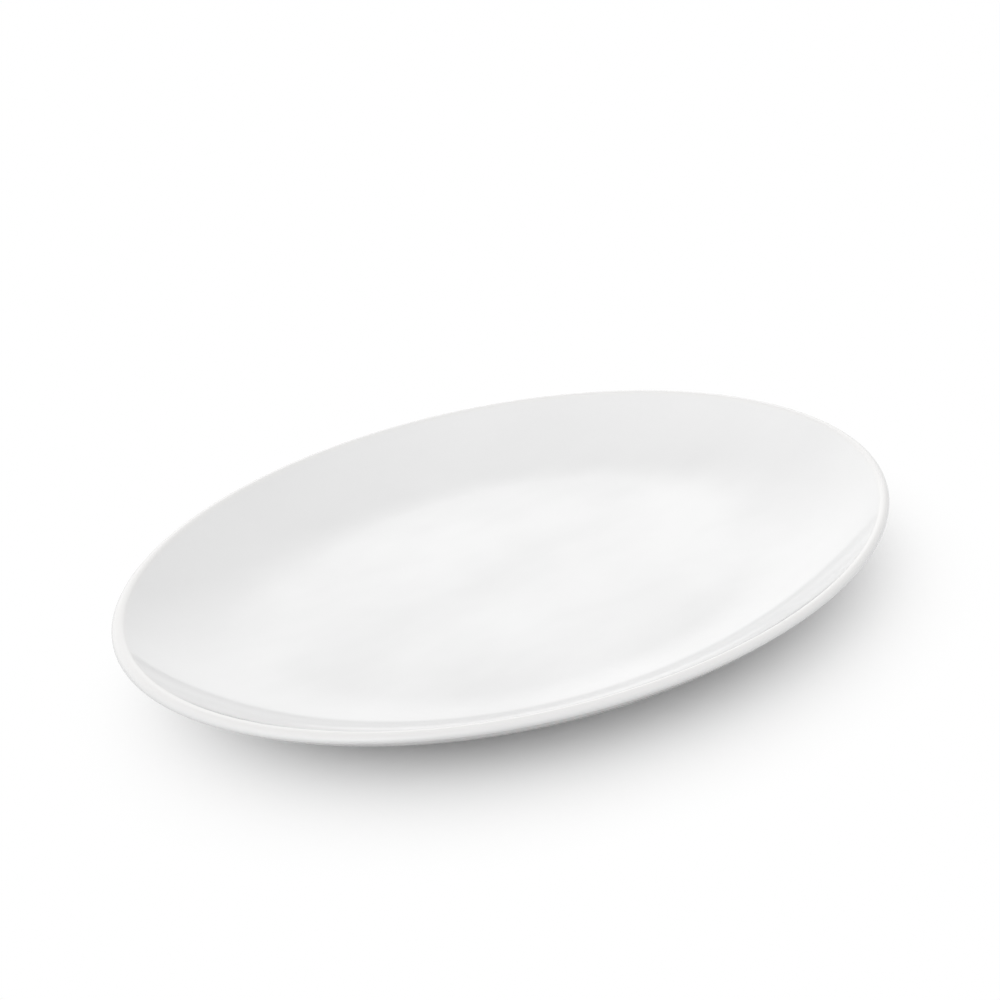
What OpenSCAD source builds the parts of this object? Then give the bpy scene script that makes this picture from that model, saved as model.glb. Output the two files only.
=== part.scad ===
// Oval coupe serving platter in white glazed porcelain
// The long way of the oval lies along X, and the table is at z = 0
// The fired body and its foot ring carry three glaze coats, kept apart by the bare edge of the foot

/* [Platter] */
// Length of the oval over the glazed lip
platter_length = 330; // [280:1:400]
// Width of the oval over the glazed lip
platter_width = 224; // [200:1:270]

/* [Wall] */
// Run of the curved wall from the flat well to the lip, across the short way
wall_run = 40; // [32:0.5:48]
// Rise of the curved wall from the well to the lip
wall_rise = 17.5; // [13:0.5:22]
// Thickness of the fired wall at the lip
wall_thickness = 3.2; // [2.4:0.1:4.5]
// Thickness of the fired body under the well
well_thickness = 4.6; // [3.5:0.1:6]

/* [Foot ring] */
// Height of the foot ring under the body
foot_height = 3; // [2:0.25:6]
// Thickness of the foot ring where it joins the body, across the short way
foot_thickness = 5; // [4:0.25:8]
// Inset of the foot ring from the edge of the flat underside, across the short way
foot_inset = 3; // [1.5:0.25:10]
// Taper of the two sides of the foot ring
foot_taper = 15; // [5:1:20]
// Height of the bare band that is wiped clean of glaze above the table
bare_edge = 0.8; // [0.5:0.1:1.5]

/* [Glaze] */
// Thickness of the glaze coats
glaze_thickness = 0.3; // [0.2:0.05:0.6]

/* [Hidden] */
$fn = 180;

porcelain_white = [0.93, 0.92, 0.89];
glaze_white = [0.97, 0.97, 0.96];
glaze_shade = [0.94, 0.95, 0.95];

// The oval is a round platter of the full width, stretched along X
stretch = platter_length / platter_width;
// Straight steps along the arc of the wall, and below and above the widest point of the lip
wall_steps = 10;
lip_steps_below = 3;
lip_steps_above = 9;

// Heights of the two flat faces of the body
under_z = foot_height;
well_z = under_z + well_thickness;

// The wall is one arc that leaves the flat level and reaches the lip at this slope
rim_slope = 2 * atan(wall_rise / wall_run);

// Centre of the rounded lip, which takes up the whole thickness of the wall
lip_radius = wall_thickness / 2;
lip_centre = [
    platter_width / 2 - glaze_thickness - lip_radius,
    well_z + wall_rise - lip_radius * cos(rim_slope),
];

// Radii and centres of the inner and outer faces of the wall, which end square to the lip
inner_radius = wall_run / sin(rim_slope);
outer_radius = (lip_centre.y - lip_radius * cos(rim_slope) - under_z) / (1 - cos(rim_slope));
inner_centre = [lip_centre.x - (lip_radius + inner_radius) * sin(rim_slope), well_z + inner_radius];
outer_centre = [lip_centre.x + (lip_radius - outer_radius) * sin(rim_slope), under_z + outer_radius];

// Foot ring across the short way, where it joins the flat underside
foot_outer = outer_centre.x - foot_inset;
foot_inner = foot_outer - foot_thickness;
foot_slant = tan(foot_taper);
// Glaze on the slanted sides of the foot ring, measured level
side_coat = glaze_thickness / cos(foot_taper);

// Room by which a shape that is cut reaches past the cut
reach = 1;

// Points along an arc, by the slope of the curve there: 0 at the bottom, 90 at the right, 180 at the top
function arc(centre, radius, from, to, steps) = [
    for (i = [0 : steps])
        let (slope = from + (to - from) * i / steps)
        centre + radius * [sin(slope), -cos(slope)]
];

function backwards(points) = [for (i = [len(points) - 1 : -1 : 0]) points[i]];

// A list without its first point, where two arcs share that point
function rest(points) = [for (i = [1 : len(points) - 1]) points[i]];

// The faces of the body from the flats to the lip, and the lip below and above its widest point,
// each grown outwards by a coat
function inner_wall(grow) = arc(inner_centre, inner_radius - grow, 0, rim_slope, wall_steps);
function outer_wall(grow) = arc(outer_centre, outer_radius + grow, 0, rim_slope, wall_steps);
function lip_below(grow) = arc(lip_centre, lip_radius + grow, rim_slope, 90, lip_steps_below);
function lip_above(grow) = arc(lip_centre, lip_radius + grow, 90, 180 + rim_slope, lip_steps_above);

// From the flat of the well to the widest point of the lip, and from there to the flat underside
function upper_face(grow) = concat(inner_wall(grow), rest(backwards(lip_above(grow))));
function lower_face(grow) = concat(backwards(lip_below(grow)), rest(backwards(outer_wall(grow))));

// A point on a side of the foot ring at a given height
function foot_outside(z, grow) = [foot_outer + grow - foot_slant * (under_z - z), z];
function foot_inside(z, grow) = [foot_inner - grow + foot_slant * (under_z - z), z];

// Turns a section by an eighth of a turn and mirrors that eighth, in each quarter of the round shape,
// and stretches every eighth along X
module oval() {
    for (quarter = [0 : 90 : 270]) {
        scale([stretch, 1, 1]) rotate([0, 0, quarter])
            rotate_extrude(angle = 45) children();
        scale([stretch, 1, 1]) rotate([0, 0, quarter]) mirror([1, -1, 0])
            rotate_extrude(angle = 45) children();
    }
}

// The fired body: the well, the wall and the rounded lip
module body() {
    color(porcelain_white)
        oval() polygon(concat([[0, well_z]], upper_face(0), rest(lower_face(0)), [[0, under_z]]));
}

// The foot ring, ground flat where it stands on the table
module foot_ring() {
    color(porcelain_white)
        intersection() {
            oval()
                polygon([
                    foot_inside(under_z, 0),
                    foot_inside(-reach, 0),
                    foot_outside(-reach, 0),
                    foot_outside(under_z, 0),
                ]);
            translate([-platter_length, -platter_length, 0]) cube(2 * platter_length);
        }
}

// The coat on the well, up the wall and over the lip to its widest point
module upper_glaze() {
    color(glaze_white)
        oval()
            polygon(concat(
                [[0, well_z]],
                upper_face(0),
                backwards(upper_face(glaze_thickness)),
                [[0, well_z + glaze_thickness]]
            ));
}

// The coat under the wall, from the widest point of the lip to the bare edge of the foot ring
module underside_glaze() {
    color(glaze_shade)
        oval()
            polygon(concat(
                lower_face(0),
                [foot_outside(under_z, 0), foot_outside(bare_edge, 0), foot_outside(bare_edge, side_coat)],
                [foot_outside(under_z - glaze_thickness, side_coat)],
                backwards(lower_face(glaze_thickness))
            ));
}

// The coat under the well, inside the foot ring
module base_glaze() {
    color(glaze_shade)
        oval()
            polygon([
                [0, under_z],
                [0, under_z - glaze_thickness],
                foot_inside(under_z - glaze_thickness, side_coat),
                foot_inside(bare_edge, side_coat),
                foot_inside(bare_edge, 0),
                foot_inside(under_z, 0),
            ]);
}

body();
foot_ring();
upper_glaze();
underside_glaze();
base_glaze();
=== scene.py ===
# %% [markdown]
# # An oval serving platter in white porcelain
# A coupe platter has no separate rim: the flat well runs into a wall that curves up to a rounded
# lip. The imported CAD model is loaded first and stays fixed. Every piece made below takes the place
# of one of its nodes, in the same frame and in metres, but with surfaces fine enough for a
# mirror-like glaze.

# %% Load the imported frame
import math

import bpy
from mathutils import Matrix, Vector


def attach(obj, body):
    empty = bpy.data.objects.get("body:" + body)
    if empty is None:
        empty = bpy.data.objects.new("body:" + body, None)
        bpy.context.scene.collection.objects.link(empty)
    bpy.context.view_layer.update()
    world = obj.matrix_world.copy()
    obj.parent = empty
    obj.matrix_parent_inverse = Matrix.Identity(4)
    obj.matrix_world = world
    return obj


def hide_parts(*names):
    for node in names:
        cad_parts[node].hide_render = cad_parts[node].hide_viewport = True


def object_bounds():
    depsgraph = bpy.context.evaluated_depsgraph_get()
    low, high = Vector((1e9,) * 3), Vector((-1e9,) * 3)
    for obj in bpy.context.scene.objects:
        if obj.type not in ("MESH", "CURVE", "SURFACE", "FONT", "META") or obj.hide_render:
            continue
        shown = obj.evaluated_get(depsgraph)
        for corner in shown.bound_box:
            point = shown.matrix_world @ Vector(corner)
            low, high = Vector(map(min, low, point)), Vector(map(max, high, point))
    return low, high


MM = 0.001
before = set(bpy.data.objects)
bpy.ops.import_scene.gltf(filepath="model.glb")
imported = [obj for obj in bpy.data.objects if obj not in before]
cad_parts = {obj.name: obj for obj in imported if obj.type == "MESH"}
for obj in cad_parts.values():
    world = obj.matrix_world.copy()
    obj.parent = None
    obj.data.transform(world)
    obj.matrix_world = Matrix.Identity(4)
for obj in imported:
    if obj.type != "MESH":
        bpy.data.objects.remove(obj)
cad_low, cad_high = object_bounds()
print("CAD box in mm:", [round(side / MM, 2) for side in cad_high - cad_low])

# %% [markdown]
# ## Sizes
# The outer sizes are read from the loaded model. The others repeat the named sizes of the CAD
# source, in millimetres across the short way of the oval, because a script that runs alone can't
# read that file. The oval is a round platter that is stretched along X, so each section is drawn
# round and stretched last.

# %% Sizes in millimetres
platter_width = (cad_high.y - cad_low.y) / MM
stretch = (cad_high.x - cad_low.x) / (cad_high.y - cad_low.y)
wall_run, wall_rise, wall_thickness = 40.0, 17.5, 3.2
well_thickness = 4.6
foot_height, foot_thickness, foot_inset = 3.0, 5.0, 3.0
foot_taper = 15.0  # degrees
bare_edge, glaze_thickness = 0.8, 0.3

under_z = foot_height
well_z = under_z + well_thickness
rim_slope = 2 * math.degrees(math.atan(wall_rise / wall_run))
print(f"width {platter_width:.1f}, stretch {stretch:.4f}, slope at the rim {rim_slope:.1f} degrees")

# %% [markdown]
# ## The section
# A platter like this is pressed or jiggered: a template with its section is turned over soft clay.
# The section could be traced by eye, but here it is worked out, so that the coats of glaze fit the
# body. A face of the wall is one arc that leaves the flat level and meets the round lip at the
# rim's slope.

# %% Points along the section
WALL_STEPS, LIP_STEPS_BELOW, LIP_STEPS_ABOVE = 48, 16, 48
BOTTOM, SIDE, TOP = 0, 90, 180  # slope of a round curve in degrees, at three places on it


def along_arc(centre, radius, start, end, steps):
    """Points on an arc, from one slope of the curve to another."""
    slopes = [math.radians(start + (end - start) * i / steps) for i in range(steps + 1)]
    return [(centre[0] + radius * math.sin(s), centre[1] - radius * math.cos(s)) for s in slopes]


rim_sin, rim_cos = math.sin(math.radians(rim_slope)), math.cos(math.radians(rim_slope))
lip_radius = wall_thickness / 2
lip_centre = (platter_width / 2 - glaze_thickness - lip_radius,
              well_z + wall_rise - lip_radius * rim_cos)
inner_radius = wall_run / rim_sin
outer_radius = (lip_centre[1] - lip_radius * rim_cos - under_z) / (1 - rim_cos)
inner_centre = (lip_centre[0] - (lip_radius + inner_radius) * rim_sin, well_z + inner_radius)
outer_centre = (lip_centre[0] + (lip_radius - outer_radius) * rim_sin, under_z + outer_radius)


def upper_face(coat):
    """From the flat of the well, up the wall and over the lip to its widest point."""
    wall = along_arc(inner_centre, inner_radius - coat, BOTTOM, rim_slope, WALL_STEPS)
    lip = along_arc(lip_centre, lip_radius + coat, TOP + rim_slope, SIDE, LIP_STEPS_ABOVE)
    return wall + lip[1:]


def lower_face(coat):
    """From the widest point of the lip, under it and down the wall to the flat underside."""
    lip = along_arc(lip_centre, lip_radius + coat, SIDE, rim_slope, LIP_STEPS_BELOW)
    wall = along_arc(outer_centre, outer_radius + coat, rim_slope, BOTTOM, WALL_STEPS)
    return lip + wall[1:]


print("lip centre", [round(v, 2) for v in lip_centre],
      "arc radii", round(inner_radius, 2), round(outer_radius, 2))

# %% [markdown]
# ## Turning a section into a piece
# By hand: add a plane, merge it to one point, pull that point along the section with extrude, and
# spin the line about the vertical axis as a wheel would. The copies that meet are merged and the
# normals are set outwards before anything else is done to the mesh. Scaling along X then makes the
# round form oval.

# %% Draw, spin and stretch
TURN_STEPS = 256
MERGE_APART = 1e-7  # metres
SHARP_ANGLE = math.radians(30)


def turned(name, section, closed):
    """A piece from its section in mm. A section that isn't closed starts and ends on the axis."""
    bpy.ops.object.select_all(action="DESELECT")
    first = Vector((section[0][0], 0, section[0][1])) * MM
    bpy.ops.mesh.primitive_plane_add(size=MM, location=(0, 0, 0))
    piece = bpy.context.object
    piece.name = piece.data.name = name
    bpy.ops.object.mode_set(mode="EDIT")
    bpy.ops.mesh.merge(type="CENTER")
    bpy.ops.transform.translate(value=first)
    bpy.ops.mesh.select_mode(type="VERT")
    path = section[1:] + ([section[0]] if closed else [])
    here = first
    for r, z in path:
        there = Vector((r, 0, z)) * MM
        bpy.ops.mesh.extrude_region_move(TRANSFORM_OT_translate={"value": there - here})
        here = there
    bpy.ops.mesh.select_all(action="SELECT")
    bpy.ops.mesh.spin(steps=TURN_STEPS, angle=2 * math.pi, center=(0, 0, 0), axis=(0, 0, 1))
    bpy.ops.mesh.select_all(action="SELECT")
    bpy.ops.mesh.remove_doubles(threshold=MERGE_APART)
    bpy.ops.mesh.normals_make_consistent(inside=False)
    bpy.ops.transform.resize(value=(stretch, 1, 1), center_override=(0, 0, 0))
    bpy.ops.object.mode_set(mode="OBJECT")
    bpy.ops.object.shade_smooth_by_angle(angle=SHARP_ANGLE)
    print(f"{name}: {len(piece.data.vertices)} corners, {len(piece.data.polygons)} faces")
    return piece


# %% [markdown]
# ## The fired body
# The body is the clay itself: the well, the wall and the lip. On the finished platter the glaze and
# the foot cover it all over, so it never shows, but it is a real piece with its own thickness and
# it fills the shell. The flat parts get a few rings between the axis and the wall, so that no face
# is a long sliver.

# %% Body
FLAT_RINGS = 6


def flat(height, radius):
    """Points from the axis out to a flat's edge, without the edge itself."""
    return [(radius * i / FLAT_RINGS, height) for i in range(FLAT_RINGS)]


body_section = flat(well_z, inner_centre[0]) + upper_face(0) + lower_face(0)[1:]
body_section += flat(under_z, outer_centre[0])[::-1]
body = turned("platter_body", body_section, closed=False)

# %% [markdown]
# ## The foot ring
# The platter stands on a low oval ring with sloping sides. Its edge on the table is ground after
# firing, which leaves small rounded corners. They could be cut with a bevel after the spin, but a
# fillet drawn in the section gives the same shape with even faces.

# %% Foot ring
FOOT_ROUND = 0.5
CORNER_STEPS = 8
foot_slant = math.tan(math.radians(foot_taper))
foot_cos = math.cos(math.radians(foot_taper))
foot_outer = outer_centre[0] - foot_inset
foot_inner = foot_outer - foot_thickness


def foot_outside(z, coat=0.0):
    """How far from the axis the foot's outer side is at a height, under a coat measured level."""
    return foot_outer + coat - foot_slant * (under_z - z)


def foot_inside(z, coat=0.0):
    """The same for the foot's inner side."""
    return foot_inner - coat + foot_slant * (under_z - z)


# the sloping side turns into the level edge through 90 degrees less the taper
outer_round = (foot_outside(FOOT_ROUND) - FOOT_ROUND / foot_cos, FOOT_ROUND)
inner_round = (foot_inside(FOOT_ROUND) + FOOT_ROUND / foot_cos, FOOT_ROUND)
foot_section = [(foot_inner, under_z)]
foot_section += along_arc(inner_round, FOOT_ROUND, foot_taper - SIDE, BOTTOM, CORNER_STEPS)
foot_section += along_arc(outer_round, FOOT_ROUND, BOTTOM, SIDE - foot_taper, CORNER_STEPS)
foot_section += [(foot_outer, under_z)]
foot_ring = turned("foot_ring_bare", foot_section, closed=True)

# %% [markdown]
# ## The glaze on top
# The platter is dipped in glaze, which melts in the kiln to a glassy coat about 0.3 mm thick. On
# top it covers the well, the wall and the lip as far as its widest point. A Solidify modifier could
# thicken the body's face, but a drawn section ends square at the lip, where the coat underneath
# carries on.

# %% Upper glaze
upper_section = flat(well_z, inner_centre[0]) + upper_face(0)
upper_section += upper_face(glaze_thickness)[::-1]
upper_section += flat(well_z + glaze_thickness, inner_centre[0])[::-1]
upper_glaze = turned("upper_glaze_coat", upper_section, closed=False)

# %% [markdown]
# ## The glaze underneath
# Below the lip the coat runs down the wall, across the flat and down the side of the foot. It pools
# in the corner at the foot, so the corner is a hollow fillet, and it ends in a soft bead where it
# was wiped off.

# %% Underside glaze
POOL_RADIUS = 1.0
BEAD_TURN = 60  # degrees to each side of the bead's lowest point
bead_radius = glaze_thickness / 2
bead_z = bare_edge + bead_radius
side_coat = glaze_thickness / foot_cos
coat_z = under_z - glaze_thickness
pool_z = coat_z - POOL_RADIUS

pool_centre = (foot_outside(pool_z, side_coat) + POOL_RADIUS / foot_cos, pool_z)
bead_centre = (foot_outside(bead_z, side_coat / 2), bead_z)
under_section = lower_face(0) + [(foot_outer, under_z), (foot_outside(bead_z), bead_z)]
under_section += along_arc(bead_centre, bead_radius, -BEAD_TURN, BEAD_TURN, CORNER_STEPS)
under_section += along_arc(pool_centre, POOL_RADIUS, TOP + SIDE - foot_taper, TOP, CORNER_STEPS)
under_section += lower_face(glaze_thickness)[::-1]
underside_glaze = turned("underside_glaze_coat", under_section, closed=True)

# %% [markdown]
# ## The glaze inside the foot
# The shallow hollow inside the foot ring is glazed as well. Its coat is the same section turned
# round: level under the well, pooled in the corner, and wiped off just above the table.

# %% Base glaze
pool_centre = (foot_inside(pool_z, side_coat) - POOL_RADIUS / foot_cos, pool_z)
bead_centre = (foot_inside(bead_z, side_coat / 2), bead_z)
base_section = flat(coat_z, pool_centre[0])
base_section += along_arc(pool_centre, POOL_RADIUS, TOP, SIDE + foot_taper, CORNER_STEPS)
base_section += along_arc(bead_centre, bead_radius, -BEAD_TURN, BEAD_TURN, CORNER_STEPS)
base_section += [(foot_inside(bead_z), bead_z), (foot_inner, under_z)]
base_section += flat(under_z, foot_inner)[::-1]
base_glaze = turned("base_glaze_coat", base_section, closed=False)

# %% [markdown]
# ## Finishes
# Two materials are needed: fired glaze and bare porcelain. Colours are written as sRGB hex values,
# as a painter would pick them, and one function turns them to the linear values that Blender's
# shaders work with. One small function adds a node, so that each material below reads as a short
# list.

# %% Colour and node helpers
def linear(hex_colour):
    """An sRGB hex colour as linear RGBA, by the curve of the sRGB standard."""
    parts = [int(hex_colour[i:i + 2], 16) / 255 for i in (1, 3, 5)]
    return [p / 12.92 if p <= 0.04045 else ((p + 0.055) / 1.055) ** 2.4 for p in parts] + [1.0]


def add(tree, kind, inputs=None, **settings):
    """Adds a node with its settings. An input given a socket is linked to it, others are set."""
    node = tree.nodes.new(kind)
    for name, value in settings.items():
        setattr(node, name, value)
    for name, value in (inputs or {}).items():
        if isinstance(value, bpy.types.NodeSocket):
            tree.links.new(value, node.inputs[name])
        else:
            node.inputs[name].default_value = value
    return node


def new_material(name):
    """A material without any nodes yet, and its node tree."""
    material = bpy.data.materials.new(name)
    material.use_nodes = True
    material.node_tree.nodes.clear()
    return material, material.node_tree


print("white #FFFFFF is", linear("#FFFFFF"))

# %% [markdown]
# ### Glossy porcelain glaze
# A clear feldspar glaze over white porcelain: bright, neutral and glassy. The eye gets a faint
# cloudiness in streaks along the oval, most of it in the well, where the coat is thickest. Over the
# lip the coat thins and the body shows through a little warmer. These are changes of colour, so
# they are made first, from one stretched noise and the height above the table.

# %% Colour of the glaze
CLOUD_MM, CLOUD_LENGTH = 40.0, 2.0  # the width of a streak, and its length in widths
CLOUD_SHIFT_MM = (-40, 0, 0)
CLOUD_DETAIL, CLOUD_MIDDLE = 3.0, 0.5
CLOUD_RANGE, CLOUD_WHITES = (0.3, 0.7), ("#E9E9E9", "#F2F2F2")
CLOUDS_FULL_MM, CLOUDS_FADED_MM, FADED_SHARE = 8.0, 14.0, 0.3
LIP_START_MM, LIP_FULL_MM, LIP_WHITE = 24.5, 26.0, "#EDECEB"

glaze, tree = new_material("porcelain glaze, fired glossy")
place = add(tree, "ShaderNodeTexCoord").outputs["Object"]
height = add(tree, "ShaderNodeSeparateXYZ", {"Vector": place}).outputs["Z"]
drawn_out = add(tree, "ShaderNodeMapping", {
    "Vector": place, "Location": [MM * side for side in CLOUD_SHIFT_MM],
    "Scale": (CLOUD_LENGTH, 1, 1),
}, vector_type="TEXTURE")
cloud = add(tree, "ShaderNodeTexNoise", {
    "Vector": drawn_out.outputs["Vector"], "Scale": 1 / (CLOUD_MM * MM), "Detail": CLOUD_DETAIL,
})
cloud_share = add(tree, "ShaderNodeMapRange", {
    "Value": height, "From Min": CLOUDS_FULL_MM * MM, "From Max": CLOUDS_FADED_MM * MM,
    "To Min": 1.0, "To Max": FADED_SHARE,
})
swing = add(tree, "ShaderNodeMath", {
    0: cloud.outputs["Fac"], 1: CLOUD_MIDDLE,
}, operation="SUBTRACT")
cloudy = add(tree, "ShaderNodeMath", {
    0: swing.outputs[0], 1: cloud_share.outputs["Result"], 2: CLOUD_MIDDLE,
}, operation="MULTIPLY_ADD")
whites = add(tree, "ShaderNodeValToRGB", {"Fac": cloudy.outputs[0]})
for stop, position, white in zip(whites.color_ramp.elements, CLOUD_RANGE, CLOUD_WHITES):
    stop.position, stop.color = position, linear(white)
lip_share = add(tree, "ShaderNodeMapRange", {
    "Value": height, "From Min": LIP_START_MM * MM, "From Max": LIP_FULL_MM * MM,
})
colour = add(tree, "ShaderNodeMix", {
    "Factor": lip_share.outputs["Result"], "A": whites.outputs["Color"], "B": linear(LIP_WHITE),
}, data_type="RGBA")
print("glaze whites", *CLOUD_WHITES, "and at the lip", LIP_WHITE)

# %% [markdown]
# The glaze mirrors sharply but a little wavily, because the melt never levels out completely. Its
# gloss also changes slightly from place to place, as on any dish that has been handled and wiped.

# %% Gloss of the glaze
GLAZE_IOR = 1.52
SMEAR_MM, SMEAR_DETAIL = 25.0, 3.0
GLAZE_ROUGHNESS = (0.05, 0.10)
WAVE_MM, WAVE_DETAIL, WAVE_HEIGHT_MM = 9.0, 1.0, 0.004

smear = add(tree, "ShaderNodeTexNoise", {
    "Vector": place, "Scale": 1 / (SMEAR_MM * MM), "Detail": SMEAR_DETAIL,
})
gloss = add(tree, "ShaderNodeMapRange", {
    "Value": smear.outputs["Fac"], "To Min": GLAZE_ROUGHNESS[0], "To Max": GLAZE_ROUGHNESS[1],
})
wave = add(tree, "ShaderNodeTexNoise", {
    "Vector": place, "Scale": 1 / (WAVE_MM * MM), "Detail": WAVE_DETAIL,
})
relief = add(tree, "ShaderNodeBump", {
    "Height": wave.outputs["Fac"], "Distance": WAVE_HEIGHT_MM * MM,
})
shader = add(tree, "ShaderNodeBsdfPrincipled", {
    "Base Color": colour.outputs["Result"], "Roughness": gloss.outputs["Result"],
    "IOR": GLAZE_IOR, "Normal": relief.outputs["Normal"],
})
add(tree, "ShaderNodeOutputMaterial", {"Surface": shader.outputs["BSDF"]})
print("made", glaze.name)

# %% [markdown]
# ### Bare porcelain
# Where the glaze is wiped off, the fired clay is dense and matt, a little warmer than the glaze.
# Its edge on the table is ground, which leaves fine grit marks and, with use, a faint grey rub. The
# real grit is about 0.1 mm and would be lost in a picture, so it is drawn at 0.4 mm.

# %% Bare porcelain
PORCELAIN_IOR = 1.52
RUB_MM, RUB_DETAIL = 12.0, 4.0
RUB_RANGE, RUB_WHITES = (0.35, 0.65), ("#DCD7CC", "#ECE8DF")
GRIT_MM, GRIT_DETAIL = 0.4, 2.0
GRIT_HEIGHT_MM, GRIT_STRENGTH = 0.03, 0.6
BARE_ROUGHNESS = (0.55, 0.75)

bare, tree = new_material("bare porcelain, fired and ground")
place = add(tree, "ShaderNodeTexCoord").outputs["Object"]
rub = add(tree, "ShaderNodeTexNoise", {
    "Vector": place, "Scale": 1 / (RUB_MM * MM), "Detail": RUB_DETAIL,
})
whites = add(tree, "ShaderNodeValToRGB", {"Fac": rub.outputs["Fac"]})
for stop, position, white in zip(whites.color_ramp.elements, RUB_RANGE, RUB_WHITES):
    stop.position, stop.color = position, linear(white)
grit = add(tree, "ShaderNodeTexNoise", {
    "Vector": place, "Scale": 1 / (GRIT_MM * MM), "Detail": GRIT_DETAIL,
})
rough = add(tree, "ShaderNodeMapRange", {
    "Value": grit.outputs["Fac"], "To Min": BARE_ROUGHNESS[0], "To Max": BARE_ROUGHNESS[1],
})
relief = add(tree, "ShaderNodeBump", {
    "Height": grit.outputs["Fac"], "Distance": GRIT_HEIGHT_MM * MM, "Strength": GRIT_STRENGTH,
})
shader = add(tree, "ShaderNodeBsdfPrincipled", {
    "Base Color": whites.outputs["Color"], "Roughness": rough.outputs["Result"],
    "IOR": PORCELAIN_IOR, "Normal": relief.outputs["Normal"],
})
add(tree, "ShaderNodeOutputMaterial", {"Surface": shader.outputs["BSDF"]})
print("made", bare.name)

# %% [markdown]
# ## Putting the pieces in the frame
# Each piece stands for one node of the CAD model, rides on its only body and gets that node's
# finish. The CAD solids stay behind the scenes, for collision.

# %% Replace the nodes
for piece, node, slot, finish in (
    (body, "body", "porcelain", bare),
    (foot_ring, "foot_ring", "porcelain", bare),
    (upper_glaze, "upper_glaze", "glaze", glaze),
    (underside_glaze, "underside_glaze", "glaze", glaze),
    (base_glaze, "base_glaze", "glaze", glaze),
):
    piece.data.materials.clear()
    piece.data.materials.append(finish)
    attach(piece, "root")
    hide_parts(node)
    print(piece.name, "stands for", node)

# %% [markdown]
# ## The table
# A plain white table that runs out of sight. Under the platter and close to it there is ordinary
# white paint, which takes the shadow. From there outwards the camera, and what mirrors it, sees
# more and more of an even white, so that the picture has no horizon. The change follows an oval
# like the platter's own, set a little towards the front, where the shadow falls. The light that the
# table throws back up is that of a grey one, because the underside of the lip would glow otherwise.

# %% Table top
FLOOR_SIZE = 12.0  # metres

bpy.ops.object.select_all(action="DESELECT")
bpy.ops.mesh.primitive_plane_add(size=FLOOR_SIZE, location=(0, 0, 0))
floor = bpy.context.object
floor.name = "table_top"
print("table", FLOOR_SIZE, "m square")

# %% Paint of the table
SHADOW_CENTRE_MM = (0, -20, 0)
PAINT_END, WHITE_START = 0.6, 1.2  # 1 is the size of the platter's own outline
BOUNCE_GREY, PAINT_WHITE = "#BCBCBC", "#FCFCFC"
PLAIN_WHITE, WHITE_LEVEL = "#FFFFFF", 1.0


def seen_by_camera(tree):
    """1 for what the camera sees, straight, mirrored or through glass, and 0 for other light."""
    ray = add(tree, "ShaderNodeLightPath").outputs
    seen_or_mirrored = add(tree, "ShaderNodeMath", {
        0: ray["Is Camera Ray"], 1: ray["Is Glossy Ray"],
    }, operation="MAXIMUM")
    return add(tree, "ShaderNodeMath", {
        0: seen_or_mirrored.outputs[0], 1: ray["Is Transmission Ray"],
    }, operation="MAXIMUM").outputs[0]


paint, tree = new_material("white painted table")
place = add(tree, "ShaderNodeTexCoord").outputs["Object"]
half_length, half_width = (cad_high.x - cad_low.x) / 2, (cad_high.y - cad_low.y) / 2
from_shadow = add(tree, "ShaderNodeMapping", {
    "Vector": place, "Location": [MM * side for side in SHADOW_CENTRE_MM],
    "Scale": (half_length, half_width, 1),
}, vector_type="TEXTURE")
far = add(tree, "ShaderNodeVectorMath", {
    0: from_shadow.outputs["Vector"],
}, operation="LENGTH")
far_share = add(tree, "ShaderNodeMapRange", {
    "Value": far.outputs["Value"], "From Min": PAINT_END, "From Max": WHITE_START,
}, interpolation_type="SMOOTHSTEP")
seen = seen_by_camera(tree)
white_share = add(tree, "ShaderNodeMath", {
    0: far_share.outputs["Result"], 1: seen,
}, operation="MULTIPLY")
paint_colour = add(tree, "ShaderNodeMix", {
    "Factor": seen, "A": linear(BOUNCE_GREY), "B": linear(PAINT_WHITE),
}, data_type="RGBA")
painted = add(tree, "ShaderNodeBsdfDiffuse", {"Color": paint_colour.outputs["Result"]})
even = add(tree, "ShaderNodeEmission", {"Color": linear(PLAIN_WHITE), "Strength": WHITE_LEVEL})
mixed = add(tree, "ShaderNodeMixShader", {
    0: white_share.outputs[0], 1: painted.outputs[0], 2: even.outputs[0],
})
add(tree, "ShaderNodeOutputMaterial", {"Surface": mixed.outputs[0]})
floor.data.materials.append(paint)
print("made", paint.name)

# %% [markdown]
# ## Camera
# The camera looks down at about 27 degrees, turned so that the long way of the oval runs from front
# left to back right. A small lens shift puts the platter where it sits in the frame.

# %% Camera
CAMERA_TURN = math.radians(42.28)
CAMERA_RISE = math.radians(27.38)
CAMERA_DISTANCE = 0.751  # metres
FIELD_OF_VIEW = math.radians(28)
SENSOR_WIDTH_MM = 36
SHIFT_X, SHIFT_Y = -0.0241, 0.0387

lens = bpy.data.cameras.new("camera")
lens.sensor_width = SENSOR_WIDTH_MM
lens.angle = FIELD_OF_VIEW
lens.shift_x, lens.shift_y = SHIFT_X, SHIFT_Y
camera = bpy.data.objects.new("camera", lens)
bpy.context.scene.collection.objects.link(camera)
target = Vector((0, 0, lip_centre[1] * MM))
back = Vector((-math.sin(CAMERA_TURN) * math.cos(CAMERA_RISE),
               -math.cos(CAMERA_TURN) * math.cos(CAMERA_RISE), math.sin(CAMERA_RISE)))
camera.location = target + back * CAMERA_DISTANCE
camera.rotation_euler = back.to_track_quat("Z", "Y").to_euler()
bpy.context.scene.camera = camera
print("camera at", [round(v, 3) for v in camera.location])

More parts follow.
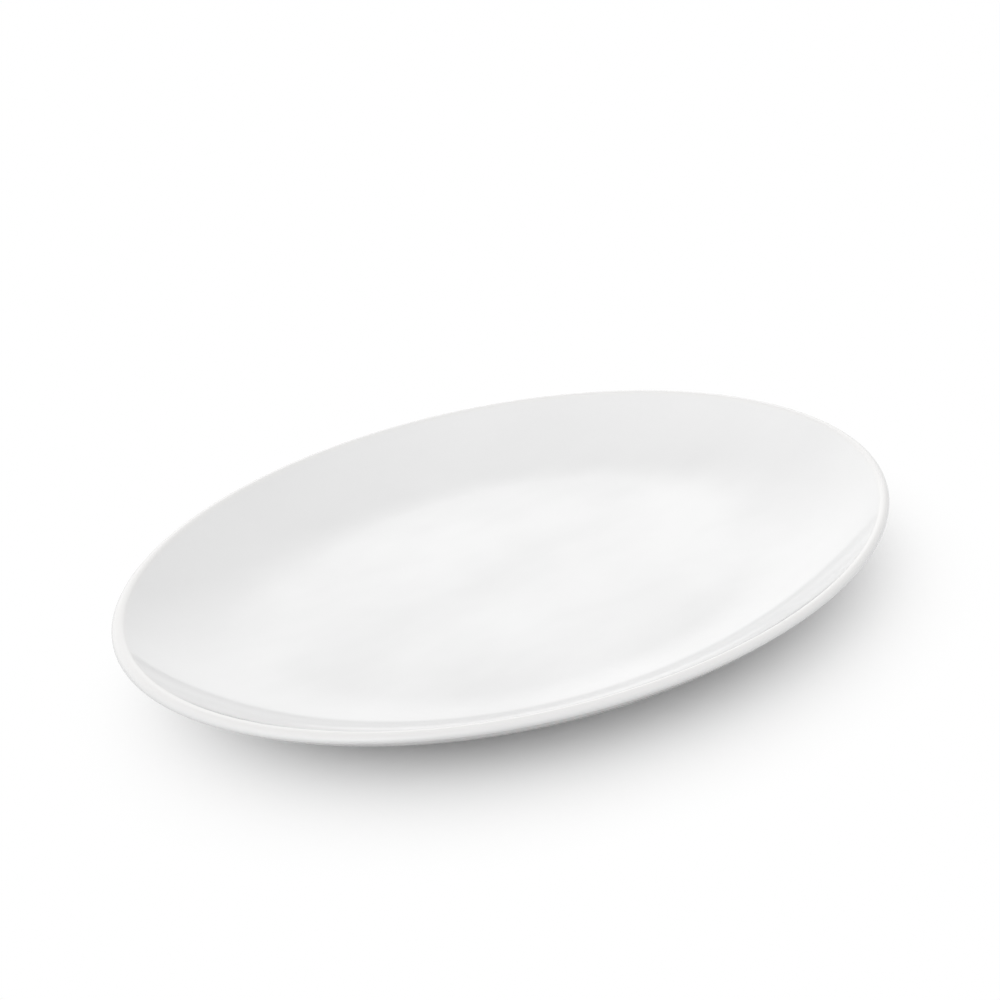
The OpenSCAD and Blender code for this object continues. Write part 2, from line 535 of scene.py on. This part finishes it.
# %% [markdown]
# ## Light
# The platter stands in a white room, like a light tent. The room gives an even fill, three broad
# panels glow low behind the camera, at the back and at the back left, and a softer light hangs
# higher on the near left. Low light reaches in under the lip and keeps the shadow short. Lamps with
# edges would draw hard bright shapes in the glaze, so the lights are patches of the world itself,
# each fading out from its middle. Where the camera sees the room, straight or in the glaze, it is
# never darker than white.

# %% Room and soft lights
ROOM_FILL = 0.69
# degrees round from the camera's line of sight, degrees up, how narrow the patch is, brightness
SOFT_LIGHTS = (
    (180, 20, 10, 1.6),
    (0, 20, 10, 1.03),
    (-45, 20, 10, 0.8),
    (-135, 45, 14, 0.8),
)

world = bpy.data.worlds.new("white room")
bpy.context.scene.world = world
world.use_nodes = True
tree = world.node_tree
tree.nodes.clear()
look = add(tree, "ShaderNodeTexCoord").outputs["Generated"]
level = ROOM_FILL
for azimuth, elevation, narrow, brightness in SOFT_LIGHTS:
    turn, rise = CAMERA_TURN + math.radians(azimuth), math.radians(elevation)
    towards = (math.sin(turn) * math.cos(rise), math.cos(turn) * math.cos(rise), math.sin(rise))
    facing = add(tree, "ShaderNodeVectorMath", {0: look, 1: towards}, operation="DOT_PRODUCT")
    ahead = add(tree, "ShaderNodeMath", {0: facing.outputs["Value"], 1: 0.0}, operation="MAXIMUM")
    patch = add(tree, "ShaderNodeMath", {0: ahead.outputs[0], 1: narrow}, operation="POWER")
    level = add(tree, "ShaderNodeMath", {
        0: patch.outputs[0], 1: brightness, 2: level,
    }, operation="MULTIPLY_ADD").outputs[0]
at_least_white = add(tree, "ShaderNodeMath", {0: level, 1: WHITE_LEVEL}, operation="MAXIMUM")
shown = add(tree, "ShaderNodeMix", {
    "Factor": seen_by_camera(tree), "A": level, "B": at_least_white.outputs[0],
}, data_type="FLOAT")
room = add(tree, "ShaderNodeBackground", {
    "Color": linear(PLAIN_WHITE), "Strength": shown.outputs["Result"],
})
add(tree, "ShaderNodeOutputWorld", {"Surface": room.outputs[0]})
print("room with", len(SOFT_LIGHTS), "soft lights")

# %% [markdown]
# ## View transform
# The standard view transform shows colours as they are written.

# %% Finish
bpy.context.scene.view_settings.view_transform = "Standard"
